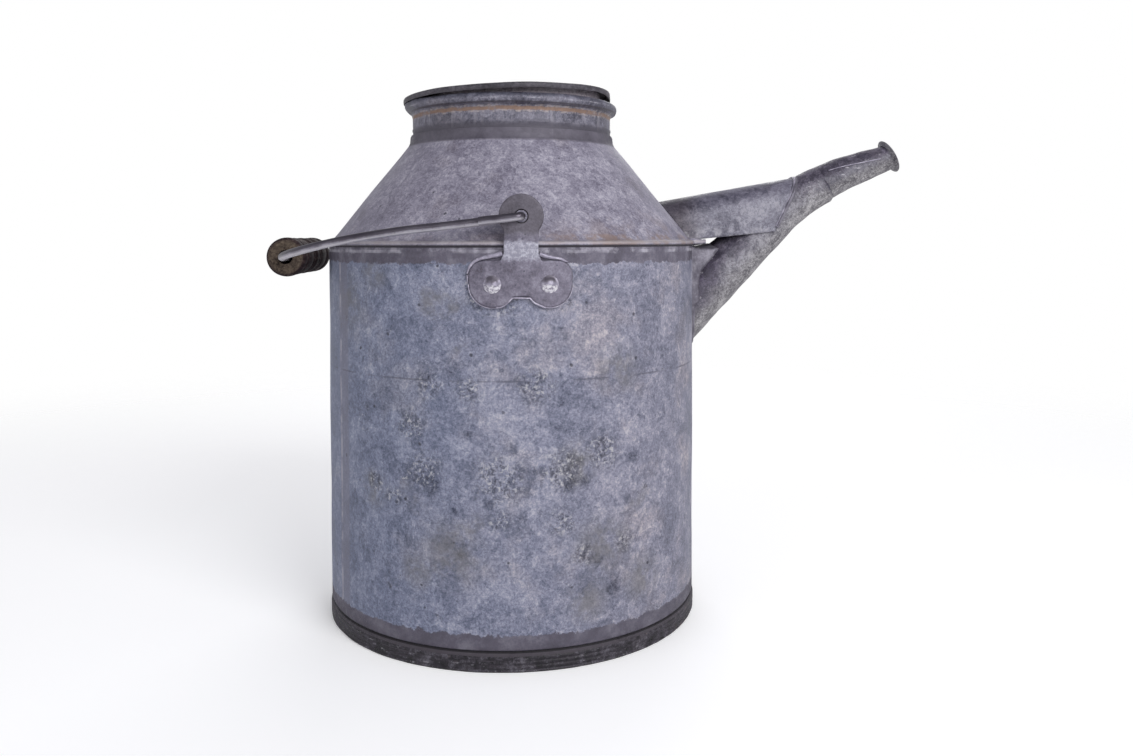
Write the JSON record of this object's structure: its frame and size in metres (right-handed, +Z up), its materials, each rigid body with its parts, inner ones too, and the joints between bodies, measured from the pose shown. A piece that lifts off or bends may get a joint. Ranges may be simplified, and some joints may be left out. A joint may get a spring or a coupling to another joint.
{
  "type": "water can",
  "caption": "Cylindrical galvanised sheet-metal water can with conical shoulder, cocked slip-in lid, long braced soldered spout, riveted ears and a wire bail with wooden grip.",
  "frame": {"origin": "on the floor under the middle of the whole object's bounding box; the can's own axis is 47.6 mm to -X of it", "axes": "+Z up, +X along the spout, ears at -Y and +Y"},
  "size_m": [0.3576, 0.2244, 0.2896],
  "materials": {
    "galvanised_body": "hot-dip galvanised sheet, weathered spangle with grey bloom, dark pits and stains",
    "galvanised_shoulder": "galvanised sheet gone dull grey, faint spangle, light rust at the hem",
    "galvanised_foot": "dull dark solder-wiped foot seam",
    "galvanised_neck": "dull galvanised sheet with a rust line under the curl",
    "galvanised_spout": "dull galvanised sheet with solder wipes, dents and scratches",
    "galvanised_brace": "dull galvanised sheet",
    "lid_sheet": "dark weathered galvanised sheet",
    "cast_ear": "malleable casting, tinned and worn smooth",
    "rivet_iron": "bright worn tinned rivet heads",
    "bail_steel": "dark steel wire worn bright along its edge",
    "turned_wood": "dark weathered turned hardwood"
  },
  "bodies": {
    "can": {"body_shell": "galvanised_body", "bottom_pan": "galvanised_foot", "shoulder_cone": "galvanised_shoulder", "neck_collar": "galvanised_neck", "spout_tube": "galvanised_spout", "spout_tip": "galvanised_spout", "spout_brace": "galvanised_brace", "ear_front": "cast_ear", "ear_back": "cast_ear", "ear_front_rivet_left": "rivet_iron", "ear_front_rivet_right": "rivet_iron", "ear_back_rivet_left": "rivet_iron", "ear_back_rivet_right": "rivet_iron"},
    "lid": {"lid_cover": "lid_sheet", "lid_skirt": "lid_sheet"},
    "bail": {"bail_wire": "bail_steel"},
    "grip": {"bail_grip": "turned_wood"}
  },
  "joints": [
    {"name": "bail_swing", "type": "hinge", "parent": "can", "child": "bail", "pos_m": [-0.0495, 0, 0.2168], "axis": [0, 1, 0], "range_deg": [0, 174]},
    {"name": "grip_spin", "type": "hinge", "parent": "bail", "child": "grip", "pos_m": [-0.16858, 0, 0.19709], "axis": [0, 1, 0], "continuous": true},
    {"name": "lid_lift", "type": "slide", "parent": "can", "child": "lid", "axis": [-0.0384, 0, 0.9993], "range_m": [0, 0.035]}
  ]
}
